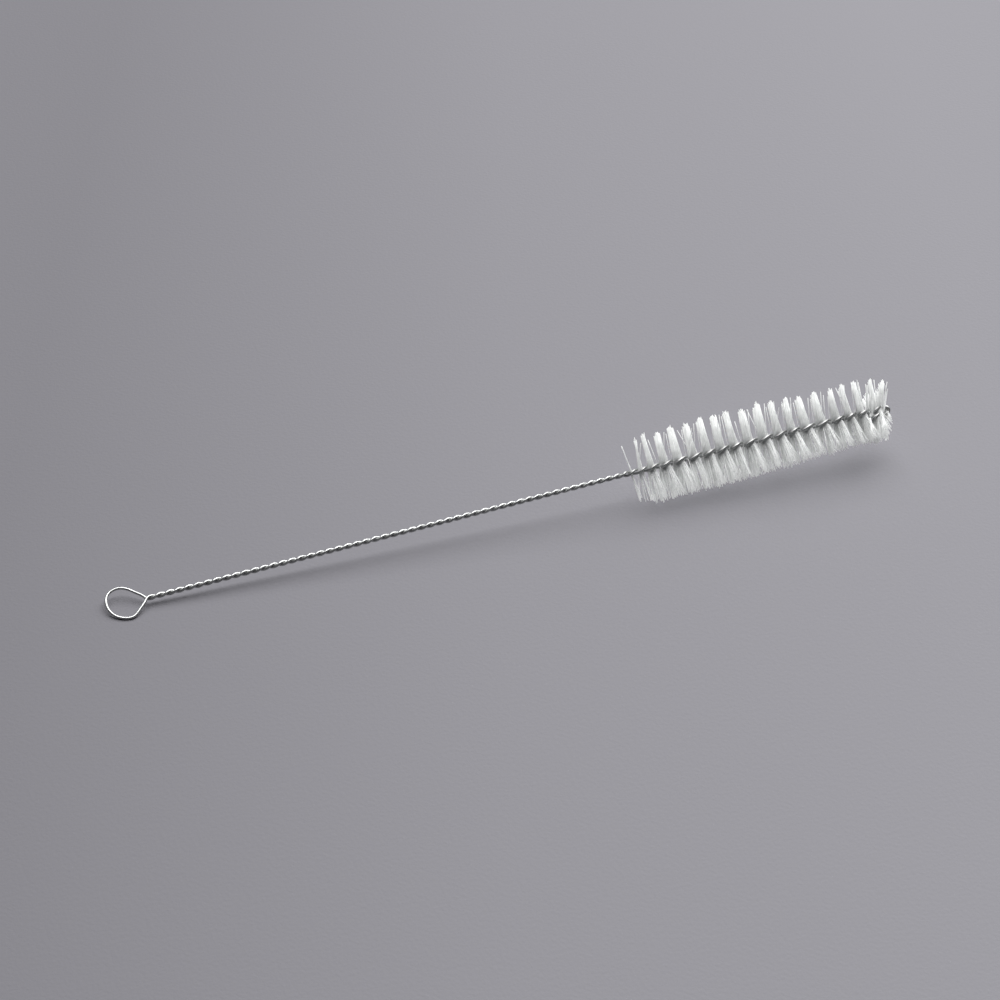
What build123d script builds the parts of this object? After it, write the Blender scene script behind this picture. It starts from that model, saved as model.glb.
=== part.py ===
from build123d import *
import math
import os

# Wire, in millimetres. One round wire makes the whole body of the brush.
WIRE_D = 1.0
HANDLE_STRAND_R = 0.52

# Hanging loop, as (along the stem, sideways, above) from the crossing of its two legs
LOOP_TILT = 12.0
LOOP_NEAR_LEG = [(-1.5, -1.55, 0.44), (-3.6, -3.75, 0.28), (-5.7, -5.75, 0.12)]
LOOP_ROUND = [
    (-6.9, -6.5, 0.06),
    (-8.4, -6.65, 0.02),
    (-10.4, -6.1, 0.0),
    (-12.4, -4.8, 0.0),
    (-14.0, -2.7, 0.0),
    (-14.85, 0.2, 0.0),
    (-14.7, 3.3, 0.0),
    (-13.5, 5.9, 0.0),
    (-11.4, 7.3, 0.0),
    (-9.3, 7.6, 0.0),
    (-7.4, 7.05, -0.05),
]
LOOP_FAR_LEG = [(-5.7, 5.9, -0.12), (-3.6, 3.9, -0.28), (-1.5, 1.75, -0.44)]

# Lie of the brush: the near edge of the loop and the first bristles touch the ground
STEM_SLOPE = 3.2
CROSSING_HEIGHT = 2.37
CROSSING_X = -137.3

# Twisted stem, counted in half turns of the pair from the crossing of the loop's legs
FIRST_TUFT = 185.2
HANDLE_HALF_TURNS = 52
TUFT_ANGLE = 50.0
STRAND_ANGLE = 90.0 + LOOP_TILT
FIRST_TUFT_TURN = HANDLE_HALF_TURNS + (STRAND_ANGLE + 90.0 - TUFT_ANGLE) / 180.0
HANDLE_HALF_PITCH = FIRST_TUFT / FIRST_TUFT_TURN

# Bristles. Each half turn of the pair holds one row, and the gaps between rows are uneven.
BRISTLE_D = 0.3
BRISTLE_SEAT = 0.015
BRUSH_STRAND_R = WIRE_D / 2 + BRISTLE_D / 2 + BRISTLE_SEAT
BRISTLES_PER_ROW = 10
TUFT_GAPS = [4.2, 4.3, 5.3, 5.5, 6.2, 5.6, 5.7, 5.2, 5.9, 6.2, 6.1, 5.4, 5.8, 6.5, 6.1, 5.2, 4.9, 5.7, 3.6]
ROWS = len(TUFT_GAPS) + 1
TUFT_STATIONS = [FIRST_TUFT + sum(TUFT_GAPS[:k]) for k in range(ROWS)]
REACH = 12.5
LONG_ROWS = 4
LONG_REACH = 13.5
SHORT_ROWS = 3
SHORT_STEP = 0.9

# Tip. The pair is folded back on itself and ends in two cut ends.
FOLD_R = 1.2
FOLD_ANGLE = 178.0
FOLD_AFTER_TUFT = 0.05
FOLD_LEAD = 0.35
FOLD_TURN = FIRST_TUFT_TURN + ROWS - 1 + FOLD_AFTER_TUFT
RETURN_LENGTH = 7.8
RETURN_HALF_PITCH = 4.75
RETURN_BRISTLES = 10
RETURN_FAN = 60.0
RETURN_REACH = 11.0
FOLD_STEPS = 6
FOLD_CLEARANCE = 1.0

# Points for each half turn of a strand, and half turns in one span of the wire
POINTS_PER_HALF_TURN = 4
SPAN_HALF_TURNS = 8
SMALL_STEP = 0.001

# Directions of the brush as it lies
SLOPE = math.radians(STEM_SLOPE)
CROSSING = Vector(CROSSING_X, 0, CROSSING_HEIGHT)
ALONG = Vector(math.cos(SLOPE), 0, math.sin(SLOPE))
SIDEWAYS = Vector(0, 1, 0)
ABOVE = Vector(-math.sin(SLOPE), 0, math.cos(SLOPE))


def station(turn):
    """Distance along the stem at a count of half turns: even in the handle, then through the tufts."""
    if turn <= FIRST_TUFT_TURN - 1:
        return turn * HANDLE_HALF_PITCH
    stops = [FIRST_TUFT - HANDLE_HALF_PITCH] + TUFT_STATIONS
    stops = [stops[0] - HANDLE_HALF_PITCH] + stops + [stops[-1] + TUFT_GAPS[-1]]
    place = turn - (FIRST_TUFT_TURN - 1)
    k = int(place)
    t = place - k
    before, start, end, after = stops[k], stops[k + 1], stops[k + 2], stops[min(k + 3, len(stops) - 1)]
    leave = (end - before) / 2
    arrive = (after - start) / 2
    rise = t * t * (3 - 2 * t)
    return start + (end - start) * rise + leave * t * (1 - t) ** 2 - arrive * t * t * (1 - t)


def strand_radius(turn):
    """Distance from the axis to a strand's centre: the pair opens where the bristles begin."""
    t = min(max(turn - (FIRST_TUFT_TURN - 1.5), 0.0), 1.0)
    return HANDLE_STRAND_R + (BRUSH_STRAND_R - HANDLE_STRAND_R) * t * t * (3 - 2 * t)


def axis_point(turn):
    """Point on the stem's axis at a count of half turns."""
    return CROSSING + ALONG * station(turn)


def across(angle):
    """Direction square to the stem, at an angle in degrees from sideways towards above."""
    turned = math.radians(angle)
    return SIDEWAYS * math.cos(turned) + ABOVE * math.sin(turned)


def strand_angle(turn):
    """Direction from the axis to the first strand. The twist is left-handed."""
    return STRAND_ANGLE - 180.0 * turn


def strand_point(turn, side):
    """Point on the centre line of one strand of the straight pair."""
    return axis_point(turn) + across(strand_angle(turn)) * strand_radius(turn) * side


def strand_direction(turn, side):
    """Direction of one strand of the straight pair."""
    return (strand_point(turn + SMALL_STEP, side) - strand_point(turn - SMALL_STEP, side)).normalized()


def strand_points(first, last, side):
    """Points on one strand from one count of half turns to another."""
    steps = max(3, round((last - first) * POINTS_PER_HALF_TURN))
    return [strand_point(first + (last - first) * i / steps, side) for i in range(steps + 1)]


# The fold lies in the plane of the stem and of the last bristles
FOLD_START = axis_point(FOLD_TURN)
FOLD_DOWN = across(strand_angle(FOLD_TURN) + 90)
FOLD_DOWN = FOLD_DOWN if FOLD_DOWN.Z < 0 else -FOLD_DOWN
FOLD_AXIS = ALONG.cross(FOLD_DOWN)
FOLD_SIDE = 1 if across(strand_angle(FOLD_TURN)).dot(FOLD_AXIS) > 0 else -1
FOLD_END = math.radians(FOLD_ANGLE)
RETURN_ALONG = ALONG * math.cos(FOLD_END) + FOLD_DOWN * math.sin(FOLD_END)
RETURN_ACROSS = RETURN_ALONG.cross(FOLD_AXIS)
RETURN_START = FOLD_START + (ALONG * math.sin(FOLD_END) + FOLD_DOWN * (1 - math.cos(FOLD_END))) * FOLD_R


def fold_point(angle, side):
    """Point on one strand in the fold, where the two strands lie side by side."""
    turned = math.radians(angle)
    centre = FOLD_START + (ALONG * math.sin(turned) + FOLD_DOWN * (1 - math.cos(turned))) * FOLD_R
    return centre + FOLD_AXIS * BRUSH_STRAND_R * side * FOLD_SIDE


def return_out(length):
    """Direction from the axis of the folded end to its first strand, at a length from the fold."""
    turned = -math.pi * length / RETURN_HALF_PITCH
    return FOLD_AXIS * math.cos(turned) + RETURN_ACROSS * math.sin(turned)


def return_point(length, side):
    """Point on one strand of the folded end."""
    centre = RETURN_START + RETURN_ALONG * length
    return centre + return_out(length) * BRUSH_STRAND_R * side * FOLD_SIDE


def tip_points(side):
    """Points on one strand round the fold and along the folded end to its cut."""
    bend = [fold_point(FOLD_ANGLE * i / FOLD_STEPS, side) for i in range(FOLD_STEPS + 1)]
    steps = round(RETURN_LENGTH / RETURN_HALF_PITCH * POINTS_PER_HALF_TURN)
    return bend + [return_point(RETURN_LENGTH * i / steps, side) for i in range(1, steps + 1)]


def loop_points():
    """Points of the hanging loop, whose plane is tilted about the stem."""
    side = across(LOOP_TILT)
    over = across(LOOP_TILT + 90)
    return [CROSSING + ALONG * a + side * s + over * o for a, s, o in LOOP_NEAR_LEG + LOOP_ROUND + LOOP_FAR_LEG]


def wire_spans():
    """Spans of the wire, each with its points and its direction at both ends."""
    last = FOLD_TURN - FOLD_LEAD
    count = math.ceil(last / SPAN_HALF_TURNS)
    cuts = [last * i / count for i in range(count + 1)]
    spans = []
    for side in (1, -1):
        for first, second in zip(cuts, cuts[1:]):
            ends = (strand_direction(first, side), strand_direction(second, side))
            spans.append((strand_points(first, second, side), ends))
        tip = [strand_point(last, side)] + tip_points(side)
        spans.append((tip, (strand_direction(last, side), (tip[-1] - tip[-2]).normalized())))
    loop = [strand_point(0, 1)] + loop_points() + [strand_point(0, -1)]
    spans.append((loop, (-strand_direction(0, 1), strand_direction(0, -1))))
    return spans


os.makedirs("parts", exist_ok=True)

# Wire: the loop, the twisted handle, the twisted core of the brush and the folded tip
with BuildPart() as wire:
    skin = []
    for points, ends in wire_spans():
        with BuildLine():
            span = Spline(*points, tangents=ends, tangent_scalars=(1, 1))
        with BuildSketch(Plane(origin=span @ 0, z_dir=span % 0)) as section:
            Circle(WIRE_D / 2)
        piece = sweep(sections=section.sketch, path=span, mode=Mode.PRIVATE)
        skin += piece.faces().filter_by(GeomType.PLANE, reverse=True)
        if points[-1] in (return_point(RETURN_LENGTH, 1), return_point(RETURN_LENGTH, -1)):
            skin += piece.faces().filter_by(GeomType.PLANE).sort_by_distance(span @ 1)[:1]
    add(Solid(Shell(skin)))
wire.part.label = "wire"
export_step(wire.part, "parts/wire.step")


def reach(row):
    """Length of the bristles from the axis: longer in the first rows and shorter in the last ones."""
    if row < LONG_ROWS:
        return LONG_REACH
    return REACH - SHORT_STEP * max(0, row - (ROWS - 1 - SHORT_ROWS))


def row_turns(row):
    """Counts of half turns at which a row holds its bristles, one of them straight up and down."""
    upright = (STRAND_ANGLE % 180.0) / 180.0
    middle = FIRST_TUFT_TURN + row
    first = math.ceil((middle - 0.5 - upright) * BRISTLES_PER_ROW)
    return [upright + (first + i) / BRISTLES_PER_ROW for i in range(BRISTLES_PER_ROW)]


def beside_fold(turn, direction):
    """True for a bristle that would run into the folded end of the wire or into its bristles."""
    near = station(turn) > station(FOLD_TURN) - RETURN_LENGTH - FOLD_CLEARANCE
    lean = direction.get_angle(FOLD_DOWN)
    return near and min(lean, 180.0 - lean) < RETURN_FAN


def row_bristles(row):
    """Start, direction and length of each bristle of a row, which crosses the axis square to the stem."""
    bristles = []
    for turn in row_turns(row):
        if turn < FOLD_TURN:
            direction = across(strand_angle(turn) + 90)
            below = reach(row)
            if beside_fold(turn, direction):
                direction = direction if direction.dot(FOLD_DOWN) < 0 else -direction
                below = BRUSH_STRAND_R
            bristles.append((axis_point(turn) - direction * below, direction, reach(row) + below))
    return bristles


def folded_bristles():
    """Bristles of the folded end: they lean away from the stem, which stands in their way."""
    bristles = []
    for i in range(RETURN_BRISTLES):
        length = RETURN_LENGTH * (i + 1) / (RETURN_BRISTLES + 1)
        direction = return_out(length).cross(RETURN_ALONG)
        direction = direction if direction.dot(FOLD_DOWN) > 0 else -direction
        if direction.get_angle(FOLD_DOWN) < RETURN_FAN:
            start = RETURN_START + RETURN_ALONG * length - direction * BRUSH_STRAND_R
            bristles.append((start, direction, RETURN_REACH + BRUSH_STRAND_R))
    return bristles


# Bristle rows, held between the two strands. What would sink into the ground is cut off there.
ROW_BRISTLES = {f"bristle_row_{row + 1:02d}": row_bristles(row) for row in range(ROWS)}
ROW_BRISTLES["folded_end_bristles"] = folded_bristles()
for name, bristles in ROW_BRISTLES.items():
    with BuildPart() as bristle_row:
        for start, direction, length in bristles:
            with BuildSketch(Plane(origin=start, z_dir=direction)):
                Circle(BRISTLE_D / 2)
            extrude(amount=length)
        split(bisect_by=Plane.XY, keep=Keep.TOP)
    bristle_row.part.label = name
    export_step(bristle_row.part, f"parts/{name}.step")
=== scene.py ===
import math
import bpy
import numpy as np
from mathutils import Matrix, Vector


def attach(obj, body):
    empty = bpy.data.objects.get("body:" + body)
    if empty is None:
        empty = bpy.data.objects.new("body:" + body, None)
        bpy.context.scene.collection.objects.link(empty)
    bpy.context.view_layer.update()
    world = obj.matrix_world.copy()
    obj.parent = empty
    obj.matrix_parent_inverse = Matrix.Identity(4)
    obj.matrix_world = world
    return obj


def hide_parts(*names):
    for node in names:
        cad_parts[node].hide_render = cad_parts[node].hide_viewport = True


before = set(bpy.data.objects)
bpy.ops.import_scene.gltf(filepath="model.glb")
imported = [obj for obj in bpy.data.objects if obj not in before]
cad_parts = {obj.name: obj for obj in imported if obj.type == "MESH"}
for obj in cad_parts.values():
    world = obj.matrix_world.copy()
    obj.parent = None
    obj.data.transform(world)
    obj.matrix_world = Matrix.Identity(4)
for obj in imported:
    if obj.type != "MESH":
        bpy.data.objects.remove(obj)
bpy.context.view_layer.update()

# Wire: one length of bright drawn steel wire, 1 mm thick. It is folded at the hanging loop, and its
# two legs are twisted together into the handle and the core of the brush, then folded back at the tip.
WIRE_COLOUR = (0.43, 0.435, 0.43, 1.0)
WIRE_DULL_COLOUR = (0.33, 0.335, 0.33, 1.0)
WIRE_ROUGHNESS = (0.28, 0.38)
DULL_PATCH_SCALE = 140.0
DULL_PATCH_RANGE = (0.3, 0.55)
DRAW_MARK_SCALE = 900.0
DRAW_MARK_STRETCH = (0.12, 1.0, 1.0)
DRAW_MARK_HEIGHT = 0.000004

# The part of a noise's range that most of it lies in
NOISE_MIDDLE = (0.35, 0.65)


def new_material(name):
    """A material with its Principled shader: returns the material, its nodes, its links and the shader."""
    material = bpy.data.materials.new(name)
    material.use_nodes = True
    tree = material.node_tree
    return material, tree.nodes, tree.links, tree.nodes["Principled BSDF"]


def object_noise(nodes, links, scale, detail, stretch=(1.0, 1.0, 1.0)):
    """Noise on Object coordinates, in metres, finer by scale and drawn out where stretch is small."""
    place = nodes.new("ShaderNodeTexCoord")
    mapping = nodes.new("ShaderNodeMapping")
    noise = nodes.new("ShaderNodeTexNoise")
    mapping.inputs["Scale"].default_value = stretch
    noise.inputs["Scale"].default_value = scale
    noise.inputs["Detail"].default_value = detail
    links.new(place.outputs["Object"], mapping.inputs["Vector"])
    links.new(mapping.outputs["Vector"], noise.inputs["Vector"])
    return noise


def noise_colours(nodes, links, noise, dark, light, span=NOISE_MIDDLE):
    """A ramp from one colour to another over a span of a noise."""
    ramp = nodes.new("ShaderNodeValToRGB")
    ramp.color_ramp.elements[0].position = span[0]
    ramp.color_ramp.elements[0].color = dark
    ramp.color_ramp.elements[1].position = span[1]
    ramp.color_ramp.elements[1].color = light
    links.new(noise.outputs["Fac"], ramp.inputs["Fac"])
    return ramp


def noise_range(nodes, links, noise, low, high):
    """A value that follows a noise from low to high."""
    spread = nodes.new("ShaderNodeMapRange")
    spread.inputs["From Min"].default_value = NOISE_MIDDLE[0]
    spread.inputs["From Max"].default_value = NOISE_MIDDLE[1]
    spread.inputs["To Min"].default_value = low
    spread.inputs["To Max"].default_value = high
    links.new(noise.outputs["Fac"], spread.inputs["Value"])
    return spread


def noise_bump(nodes, links, noise, height, shader):
    """Bump from a noise, with its height in metres."""
    bump = nodes.new("ShaderNodeBump")
    bump.inputs["Distance"].default_value = height
    links.new(noise.outputs["Fac"], bump.inputs["Height"])
    links.new(bump.outputs["Normal"], shader.inputs["Normal"])


def wire_steel():
    """Drawn steel: fine marks along the stem in its roughness and bump, with slightly duller patches."""
    material, nodes, links, shader = new_material("wire_steel")
    patches = object_noise(nodes, links, DULL_PATCH_SCALE, detail=3.0)
    colours = noise_colours(nodes, links, patches, WIRE_DULL_COLOUR, WIRE_COLOUR, DULL_PATCH_RANGE)
    links.new(colours.outputs["Color"], shader.inputs["Base Color"])
    marks = object_noise(nodes, links, DRAW_MARK_SCALE, detail=4.0, stretch=DRAW_MARK_STRETCH)
    dullness = noise_range(nodes, links, marks, *WIRE_ROUGHNESS)
    links.new(dullness.outputs["Result"], shader.inputs["Roughness"])
    noise_bump(nodes, links, marks, DRAW_MARK_HEIGHT, shader)
    shader.inputs["Metallic"].default_value = 1.0
    return material


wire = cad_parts["wire"]
wire.data.materials.clear()
wire.data.materials.append(wire_steel())

# Bristle rows: tufts of white nylon filaments, 0.3 mm thick, pinched in their middles between the two
# strands, a tuft for each half turn. Outside the strands the filaments of a tuft lie near one plane.
MM = 0.001
STEM_SLOPE = math.radians(3.2)
CROSSING = np.array([-137.3, 0.0, 2.37])
FIRST_TUFT = 185.2
HANDLE_HALF_TURNS = 52
TUFT_ANGLE = 50.0
STRAND_ANGLE = 102.0
FIRST_TUFT_TURN = HANDLE_HALF_TURNS + (STRAND_ANGLE + 90.0 - TUFT_ANGLE) / 180.0
HANDLE_HALF_PITCH = FIRST_TUFT / FIRST_TUFT_TURN
TUFT_GAPS = [4.2, 4.3, 5.3, 5.5, 6.2, 5.6, 5.7, 5.2, 5.9, 6.2, 6.1, 5.4, 5.8, 6.5, 6.1, 5.2, 4.9, 5.7, 3.6]
ROWS = len(TUFT_GAPS) + 1
TUFT_STATIONS = FIRST_TUFT + np.concatenate([[0.0], np.cumsum(TUFT_GAPS)])
FOLD_AFTER_TUFT = 0.05
FOLD_TURN = FIRST_TUFT_TURN + ROWS - 1 + FOLD_AFTER_TUFT

FILAMENT_R = 0.15
FILAMENT_SIDES = 4
FILAMENT_RINGS = np.array([0.0, 0.75, 1.2, 1.7])
OUTER_RINGS = np.array([0.5, 1.0])
PINCH_R = (0.6, 1.5)

# One number for each row, from the handle to the tip
FILAMENTS = [5, 12, 28, 50] + [64] * 16
ABOVE_REACH = [10.5, 12.0, 12.9, 12.0, 12.8, 12.5, 13.3, 12.9, 13.1, 12.4,
               13.5, 12.6, 12.6, 11.8, 12.0, 11.5, 12.2, 12.1, 11.6, 10.4]
BELOW_REACH = [10.2, 12.0, 13.2, 13.0, 12.8, 12.8, 13.0, 13.0, 13.0, 13.0,
               12.6, 12.4, 12.0, 11.8, 11.8, 11.5, 11.6, 11.6, 11.2, 5.8]
ABOVE_LEAN = [-0.14, 0.08, -0.02, 0.0, -0.03, -0.01, 0.0, -0.01, -0.03, 0.01,
              0.03, 0.0, 0.04, -0.02, -0.02, 0.04, 0.0, 0.0, 0.1, 0.3]
HALF_WIDTH = [0.07, 0.25, 0.34] + [0.39] * 15 + [0.46, 0.42]
TUFT_SHIFT = [0.0] + [-0.12] * 18 + [-0.3]

GATHER_BELOW = [0.22] * 9 + [0.45] * 11
SPREAD_BELOW = [12.0] * 9 + [7.0] * 11

GATHER_ABOVE = 0.24
SPREAD_ABOVE = 3.0
SPLAY_BELOW = 0.03
STRAY_SHARE = 0.04
STRAY_TURN = 25.0
STRAY_LEAN = 0.4
PLACE_WITHIN = (0.2, 0.8)
REACH_SPREAD = 0.4
SHORT_SHARE = 0.03
SHORT_CUT = (1.0, 3.5)
BEND_SPREAD = 0.0011
CLUMP = 5
FIRST_ROW_SEED = 100

# Leans along the stem, above it and below it
LEAN = (0.03, 0.035)
CLUMP_LEAN = (0.025, 0.08)

NYLON_COLOUR = (0.87, 0.874, 0.871, 1.0)
NYLON_DULL_COLOUR = (0.81, 0.817, 0.812, 1.0)
NYLON_SHADE_SCALE = 520.0
NYLON_ROUGHNESS = 0.42
NYLON_THROUGH = 0.5
NYLON_CLEAR_SHADOW = 0.9

ALONG = np.array([math.cos(STEM_SLOPE), 0.0, math.sin(STEM_SLOPE)])
SIDEWAYS = np.array([0.0, 1.0, 0.0])
ABOVE = np.array([-math.sin(STEM_SLOPE), 0.0, math.cos(STEM_SLOPE)])


def station(turn):
    """Distance along the stem at counts of half turns: even in the handle, then a curve through the rows."""
    stops = [FIRST_TUFT - 2 * HANDLE_HALF_PITCH, FIRST_TUFT - HANDLE_HALF_PITCH]
    stops = np.concatenate([stops, TUFT_STATIONS, [TUFT_STATIONS[-1] + TUFT_GAPS[-1]]])
    place = np.clip(turn - (FIRST_TUFT_TURN - 1), 0.0, ROWS + 0.999)
    k = place.astype(int)
    t = place - k
    before, start, end = stops[k], stops[k + 1], stops[np.minimum(k + 2, len(stops) - 1)]
    after = stops[np.minimum(k + 3, len(stops) - 1)]
    leave = (end - before) / 2
    arrive = (after - start) / 2
    curve = start + (end - start) * t * t * (3 - 2 * t) + leave * t * (1 - t) ** 2 - arrive * t * t * (1 - t)
    return np.where(turn <= FIRST_TUFT_TURN - 1, turn * HANDLE_HALF_PITCH, curve)


def across(angle):
    """Directions square to the stem, at angles in degrees from sideways towards above."""
    turned = np.radians(angle)[:, None]
    return np.cos(turned) * SIDEWAYS + np.sin(turned) * ABOVE


def filament_half(root, pinch, outer, lengths, bend):
    """Centres of the rings along one half of some filaments, from the root out.

    At a distance r from the root the centre is root + pinch * (r - w) + outer * w + bend * w^2, where w
    grows from 0 inside the strands to r - 1.05 mm outside them, so that the filament turns smoothly from
    the direction it is pinched in to its own. A tip that would sink into the ground is lifted.
    """
    inner, free = PINCH_R
    fixed = np.broadcast_to(FILAMENT_RINGS, (len(root), len(FILAMENT_RINGS)))
    rest = FILAMENT_RINGS[-1] + (lengths[:, None] - FILAMENT_RINGS[-1]) * OUTER_RINGS
    r = np.concatenate([fixed, rest], axis=1)
    w = np.where(r < free, np.maximum(r - inner, 0.0) ** 2 / (2 * (free - inner)), r - (inner + free) / 2)
    centre = root[:, None] + pinch[:, None] * (r - w)[..., None] + outer[:, None] * w[..., None]
    centre = centre + bend[:, None] * (w ** 2)[..., None]
    lift = np.maximum(FILAMENT_R - centre[:, -1, 2], 0.0)
    centre[:, :, 2] += lift[:, None] * (r / lengths[:, None]) ** 2
    return centre


def filament_tubes(root, pinch, outer_above, outer_below, lengths, bend):
    """Tubes through both halves of some filaments, as an array of filaments, rings, sides and x, y, z."""
    upper = filament_half(root, pinch, outer_above, lengths[:, 0], bend[:, 0])
    lower = filament_half(root, -pinch, outer_below, lengths[:, 1], bend[:, 1])
    centre = np.concatenate([lower[:, :0:-1], upper[:, 1:]], axis=1)
    axis = np.gradient(centre, axis=1)
    axis /= np.linalg.norm(axis, axis=2, keepdims=True)
    first = np.cross(axis, np.cross(ALONG, axis))
    first /= np.linalg.norm(first, axis=2, keepdims=True)
    second = np.cross(axis, first)
    turn = np.linspace(0, 2 * math.pi, FILAMENT_SIDES, endpoint=False)[:, None]
    rim = np.cos(turn) * first[:, :, None] + np.sin(turn) * second[:, :, None]
    return centre[:, :, None] + FILAMENT_R * rim


def tube_faces(count, rings, sides):
    """Quads round each tube and a flat face over each end, as vertex numbers and the size of each face."""
    first = np.arange(count)[:, None, None] * rings * sides
    ring = np.arange(rings - 1)[None, :, None] * sides
    side = np.arange(sides)[None, None, :]
    after = (side + 1) % sides
    a = first + ring + side
    b = first + ring + after
    quads = np.stack([a, b, b + sides, a + sides], axis=-1).reshape(-1, 4)
    start = (first[:, 0] + np.arange(sides)[::-1][None, :]).reshape(-1, sides)
    end = (first[:, 0] + (rings - 1) * sides + np.arange(sides)[None, :]).reshape(-1, sides)
    numbers = np.concatenate([quads.ravel(), start.ravel(), end.ravel()])
    sizes = np.concatenate([np.full(len(quads), 4), np.full(2 * count, sides)])
    return numbers, sizes


def tubes_object(name, tubes, material, nodes):
    """One object from tubes in millimetres, standing for the CAD nodes of the same bristles."""
    count, rings, sides, _ = tubes.shape
    numbers, sizes = tube_faces(count, rings, sides)
    mesh = bpy.data.meshes.new(name)
    mesh.vertices.add(count * rings * sides)
    mesh.vertices.foreach_set("co", (tubes * MM).astype(np.float32).ravel())
    mesh.loops.add(len(numbers))
    mesh.loops.foreach_set("vertex_index", numbers.astype(np.int32))
    mesh.polygons.add(len(sizes))
    mesh.polygons.foreach_set("loop_start", (np.cumsum(sizes) - sizes).astype(np.int32))
    mesh.polygons.foreach_set("use_smooth", sizes == 4)
    mesh.update(calc_edges=True)
    mesh.validate()
    mesh.materials.append(material)
    piece = bpy.data.objects.new(name, mesh)
    bpy.context.collection.objects.link(piece)
    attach(piece, "root")
    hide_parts(*nodes)
    return piece


def nylon():
    """White nylon: half of its light passes through, its shadows are nearly clear, and its shade varies."""
    material, nodes, links, shader = new_material("bristle_nylon")
    shades = object_noise(nodes, links, NYLON_SHADE_SCALE, detail=2.0)
    colours = noise_colours(nodes, links, shades, NYLON_DULL_COLOUR, NYLON_COLOUR)
    links.new(colours.outputs["Color"], shader.inputs["Base Color"])
    shader.inputs["Roughness"].default_value = NYLON_ROUGHNESS
    through = nodes.new("ShaderNodeBsdfTranslucent")
    both = nodes.new("ShaderNodeMixShader")
    both.inputs["Fac"].default_value = NYLON_THROUGH
    links.new(colours.outputs["Color"], through.inputs["Color"])
    links.new(shader.outputs["BSDF"], both.inputs[1])
    links.new(through.outputs["BSDF"], both.inputs[2])
    path = nodes.new("ShaderNodeLightPath")
    share = nodes.new("ShaderNodeMath")
    share.operation = "MULTIPLY"
    share.inputs[1].default_value = NYLON_CLEAR_SHADOW
    clear = nodes.new("ShaderNodeBsdfTransparent")
    shadow = nodes.new("ShaderNodeMixShader")
    links.new(path.outputs["Is Shadow Ray"], share.inputs[0])
    links.new(share.outputs["Value"], shadow.inputs["Fac"])
    links.new(both.outputs["Shader"], shadow.inputs[1])
    links.new(clear.outputs["BSDF"], shadow.inputs[2])
    links.new(shadow.outputs["Shader"], nodes["Material Output"].inputs["Surface"])
    return material


def clumped(random, count, single, clump):
    """Random numbers from -1 to 1, scaled by single, plus the like for each clump of neighbours."""
    own = random.uniform(-1.0, 1.0, count) * single
    shared = np.repeat(random.uniform(-1.0, 1.0, count // CLUMP + 1) * clump, CLUMP)[:count]
    return own + shared


def outer_directions(random, angle, spread, lean, half):
    """Directions outside the strands, from angles in degrees about the stem and leans along it.

    half is 0 for the halves above the stem and 1 for those below it.
    """
    count = len(angle)
    stray = (random.random(count) < STRAY_SHARE) * random.uniform(-STRAY_TURN, STRAY_TURN, count)
    angle = angle + random.normal(0.0, spread, count) + stray
    lean = lean + clumped(random, count, LEAN[half], CLUMP_LEAN[half]) + np.radians(stray) * STRAY_LEAN
    outer = across(angle) + lean[:, None] * ALONG
    return outer / np.linalg.norm(outer, axis=1, keepdims=True)


def cut_lengths(random, count, above, below):
    """Lengths of both halves of some filaments, nearly even, with a few cut short."""
    lengths = random.normal([above, below], REACH_SPREAD, (count, 2))
    return lengths - (random.random((count, 2)) < SHORT_SHARE) * random.uniform(*SHORT_CUT, (count, 2))


def bristle_row(row, random):
    """Tubes of one row: the filaments sit side by side in the pinch, and lean out to the row's plane."""
    count = FILAMENTS[row]
    place = (np.arange(count) + random.uniform(*PLACE_WITHIN, count)) / count * 2 - 1
    turn = FIRST_TUFT_TURN + row + TUFT_SHIFT[row] + place * HALF_WIDTH[row]
    fan = -180.0 * HALF_WIDTH[row] * place
    splay = SPLAY_BELOW * place
    root = CROSSING + station(turn)[:, None] * ALONG
    pinch = across(STRAND_ANGLE + 90.0 - 180.0 * turn)
    pinch = pinch * np.where(pinch @ across(np.array([TUFT_ANGLE]))[0] < 0, -1.0, 1.0)[:, None]
    above = outer_directions(random, TUFT_ANGLE + GATHER_ABOVE * fan, SPREAD_ABOVE, ABOVE_LEAN[row], 0)
    below = outer_directions(random, TUFT_ANGLE + 180.0 + GATHER_BELOW[row] * fan, SPREAD_BELOW[row],
                             splay, 1)
    lengths = cut_lengths(random, count, ABOVE_REACH[row], BELOW_REACH[row])
    bend = random.normal(0.0, BEND_SPREAD, (count, 2, 3))
    return filament_tubes(root, pinch, above, below, lengths, bend)


bristle_nylon = nylon()
for row in range(ROWS):
    random = np.random.default_rng(FIRST_ROW_SEED + row)
    node = f"bristle_row_{row + 1:02d}"
    tubes_object(f"bristle_tuft_{row + 1:02d}", bristle_row(row, random), bristle_nylon, [node])

# Folded end: the twisted pair is bent back under the stem and pinches nylon filaments of its own. Below,
# they point away from the stem. Above, they pass the stem in front and behind.
FOLD_R = 1.2
FOLD_ANGLE = math.radians(178.0)
RETURN_LENGTH = 7.8
RETURN_HALF_PITCH = 4.75
RETURN_FILAMENTS = 90
RETURN_ABOVE = 11.0
RETURN_BELOW = 10.0
RETURN_GATHER = 0.45
RETURN_SPREAD = 8.0
RETURN_LEAN_ABOVE = 0.1
RETURN_LEAN_BELOW = -0.25
PAST_STEM = 31.0
FRONT_SHARE = 0.3
FOLDED_END_SEED = 7

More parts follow.
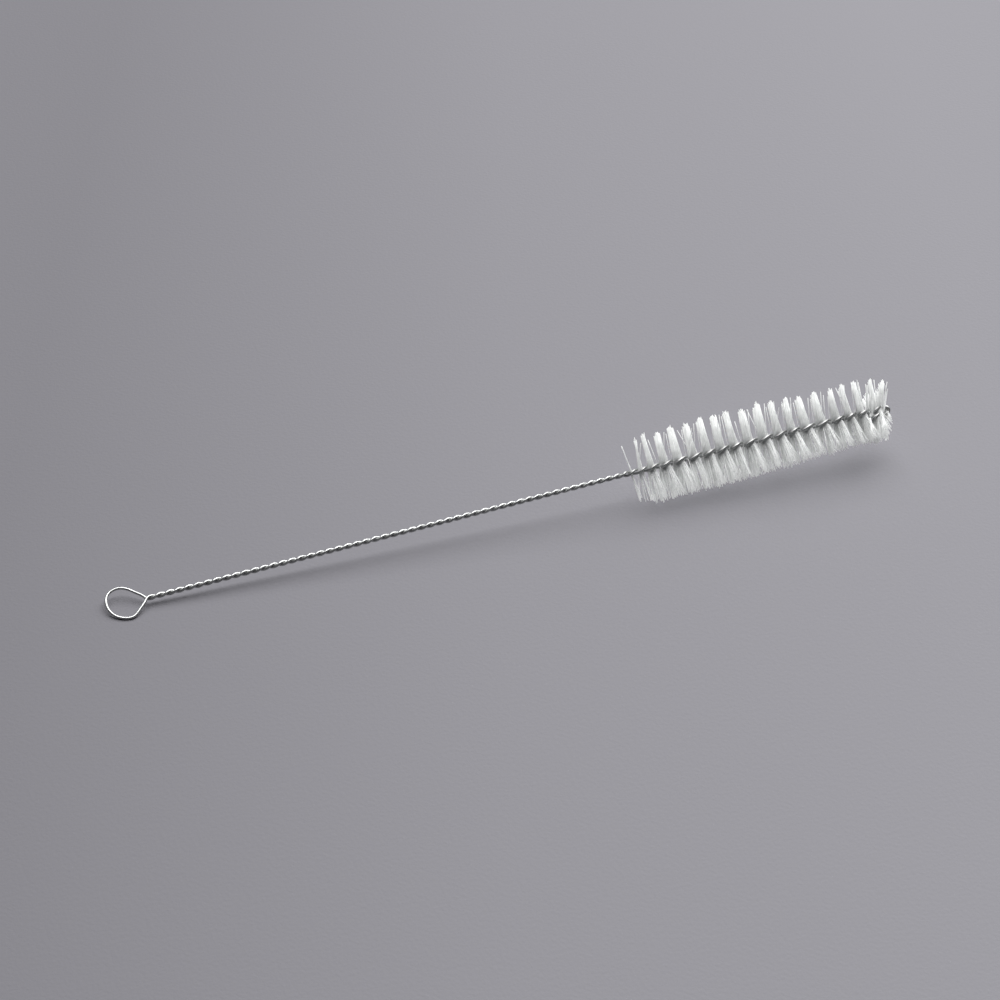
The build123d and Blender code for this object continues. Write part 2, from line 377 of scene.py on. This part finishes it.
fold_strand = STRAND_ANGLE - 180.0 * FOLD_TURN
fold_down = across(np.array([fold_strand + 90.0]))[0]
fold_down = fold_down * (1 if fold_down[2] < 0 else -1)
fold_axis = np.cross(ALONG, fold_down)
fold_start = CROSSING + ALONG * station(np.array([FOLD_TURN]))[0]
return_along = ALONG * math.cos(FOLD_ANGLE) + fold_down * math.sin(FOLD_ANGLE)
return_across = np.cross(return_along, fold_axis)
fold_end = fold_start + (ALONG * math.sin(FOLD_ANGLE) + fold_down * (1 - math.cos(FOLD_ANGLE))) * FOLD_R
down_angle = math.degrees(math.atan2(fold_down @ ABOVE, fold_down @ SIDEWAYS))


def folded_filaments(random):
    """Tubes of the folded end, pinched at angles that turn about it as they do about the stem."""
    count = RETURN_FILAMENTS
    length = RETURN_LENGTH * (np.arange(count) + random.uniform(*PLACE_WITHIN, count)) / count
    turned = np.pi / 2 - np.pi * length / RETURN_HALF_PITCH
    pinch = np.cos(turned)[:, None] * fold_axis + np.sin(turned)[:, None] * return_across
    pinch = pinch * np.where(pinch @ fold_down > 0, -1.0, 1.0)[:, None]
    root = fold_end + length[:, None] * return_along
    fan = np.degrees(np.arctan2(pinch @ fold_axis, -pinch @ fold_down))
    front = np.where(random.random(count) < FRONT_SHARE, 1.0, -1.0)
    above = outer_directions(random, down_angle + 180.0 + front * PAST_STEM, RETURN_SPREAD,
                             RETURN_LEAN_ABOVE, 0)
    below = outer_directions(random, down_angle - RETURN_GATHER * fan, RETURN_SPREAD, RETURN_LEAN_BELOW, 1)
    lengths = cut_lengths(random, count, RETURN_ABOVE, RETURN_BELOW)
    bend = random.normal(0.0, BEND_SPREAD, (count, 2, 3))
    return filament_tubes(root, pinch, above, below, lengths, bend)


random = np.random.default_rng(FOLDED_END_SEED)
tubes_object("bristles_of_folded_end", folded_filaments(random), bristle_nylon, ["folded_end_bristles"])

# Floor: a seamless sheet of grey paper that the brush lies on, with painted shade that darkens it to the left
# where the lamps' light falls off. It is flat, with a faint grain, and isn't part of the brush.
FLOOR_SIZE = 6.0
PAPER_ROUGHNESS = 0.9
PAPER_SHINE = 0.2
PAPER_GRAIN_SCALE = 700.0
PAPER_GRAIN_HEIGHT = 0.0001
FLOOR_RIGHT = (0.9463, -0.3233, 0.0)
# The paper's grey across the camera's view, with painted shade that darkens it to the left where the lamps'
# light falls off
FLOOR_GREY_AND_PAINTED_FALLOFF = [(-0.19, (0.138, 0.135, 0.148)), (0.0, (0.180, 0.177, 0.192)), (0.19, (0.200, 0.197, 0.213))]


def paper():
    """Grey paper with painted shade: darker to the left of the camera's view where the lamps' light falls
    off, with a faint grain.
    """
    material, nodes, links, shader = new_material("grey_paper")
    place = nodes.new("ShaderNodeTexCoord")
    sideways = nodes.new("ShaderNodeVectorMath")
    sideways.operation = "DOT_PRODUCT"
    sideways.inputs[1].default_value = FLOOR_RIGHT
    span = nodes.new("ShaderNodeMapRange")
    span.inputs["From Min"].default_value = FLOOR_GREY_AND_PAINTED_FALLOFF[0][0]
    span.inputs["From Max"].default_value = FLOOR_GREY_AND_PAINTED_FALLOFF[-1][0]
    ramp = nodes.new("ShaderNodeValToRGB")
    ramp.color_ramp.elements[0].color = (*FLOOR_GREY_AND_PAINTED_FALLOFF[0][1], 1.0)
    ramp.color_ramp.elements[1].color = (*FLOOR_GREY_AND_PAINTED_FALLOFF[-1][1], 1.0)
    middle = ramp.color_ramp.elements.new(0.5)
    middle.color = (*FLOOR_GREY_AND_PAINTED_FALLOFF[1][1], 1.0)
    links.new(place.outputs["Object"], sideways.inputs[0])
    links.new(sideways.outputs["Value"], span.inputs["Value"])
    links.new(span.outputs["Result"], ramp.inputs["Fac"])
    links.new(ramp.outputs["Color"], shader.inputs["Base Color"])
    shader.inputs["Roughness"].default_value = PAPER_ROUGHNESS
    shader.inputs["Specular IOR Level"].default_value = PAPER_SHINE
    grain = object_noise(nodes, links, PAPER_GRAIN_SCALE, detail=2.0)
    noise_bump(nodes, links, grain, PAPER_GRAIN_HEIGHT, shader)
    return material


half = FLOOR_SIZE / 2
floor_mesh = bpy.data.meshes.new("floor")
floor_mesh.from_pydata([(-half, -half, 0.0), (half, -half, 0.0), (half, half, 0.0), (-half, half, 0.0)], [],
                       [(0, 1, 2, 3)])
floor_mesh.materials.append(paper())
floor = bpy.data.objects.new("floor", floor_mesh)
bpy.context.collection.objects.link(floor)

# Light: a soft lamp low behind on the right, a wide one overhead and a little behind, and a dim room
KEY_DIRECTION = (0.65, 0.46, 0.60)
KEY_DISTANCE = 9.0
KEY_SIZE = 6.75
KEY_POWER = 500.0
OVERHEAD_DIRECTION = (0.28, 0.52, 0.95)
OVERHEAD_DISTANCE = 7.0
OVERHEAD_SIZE = 8.4
OVERHEAD_POWER = 1010.0
ROOM_COLOUR = (0.93, 0.94, 1.0)
ROOM_STRENGTH = 0.11


def soft_lamp(name, direction, distance, size, power):
    """A round lamp that faces the brush from a direction."""
    lamp = bpy.data.lights.new(name, "AREA")
    lamp.shape = "DISK"
    lamp.size = size
    lamp.energy = power
    stand = bpy.data.objects.new(name, lamp)
    towards = Vector(direction).normalized()
    stand.location = towards * distance
    stand.rotation_euler = towards.to_track_quat("Z", "Y").to_euler()
    bpy.context.collection.objects.link(stand)


soft_lamp("key_lamp", KEY_DIRECTION, KEY_DISTANCE, KEY_SIZE, KEY_POWER)
soft_lamp("overhead_lamp", OVERHEAD_DIRECTION, OVERHEAD_DISTANCE, OVERHEAD_SIZE, OVERHEAD_POWER)
room = bpy.data.worlds.new("room")
room.use_nodes = True
room.node_tree.nodes["Background"].inputs["Color"].default_value = (*ROOM_COLOUR, 1.0)
room.node_tree.nodes["Background"].inputs["Strength"].default_value = ROOM_STRENGTH
bpy.context.scene.world = room
bpy.context.scene.view_settings.view_transform = "Standard"

# Camera: a metre from the brush, 38 degrees above the floor, with the loop near on the left
CAMERA_ELEVATION = math.radians(38.0)
CAMERA_AZIMUTH = math.radians(-108.98)
CAMERA_DISTANCE = 1.0
LOOKED_AT = Vector((0.00117, 0.01576, 0.0))
FOCAL_PIXELS = 2659.1
PICTURE_PIXELS = 1000
SENSOR_WIDTH = 36.0
VIEW_DEPTH = 20.0

camera_data = bpy.data.cameras.new("camera")
camera_data.sensor_width = SENSOR_WIDTH
camera_data.lens = FOCAL_PIXELS / PICTURE_PIXELS * SENSOR_WIDTH
camera_data.clip_end = VIEW_DEPTH
camera = bpy.data.objects.new("camera", camera_data)
level = math.cos(CAMERA_ELEVATION)
height = math.sin(CAMERA_ELEVATION)
to_camera = Vector((level * math.cos(CAMERA_AZIMUTH), level * math.sin(CAMERA_AZIMUTH), height))
camera.location = LOOKED_AT + to_camera * CAMERA_DISTANCE
camera.rotation_euler = to_camera.to_track_quat("Z", "Y").to_euler()
bpy.context.collection.objects.link(camera)
bpy.context.scene.camera = camera
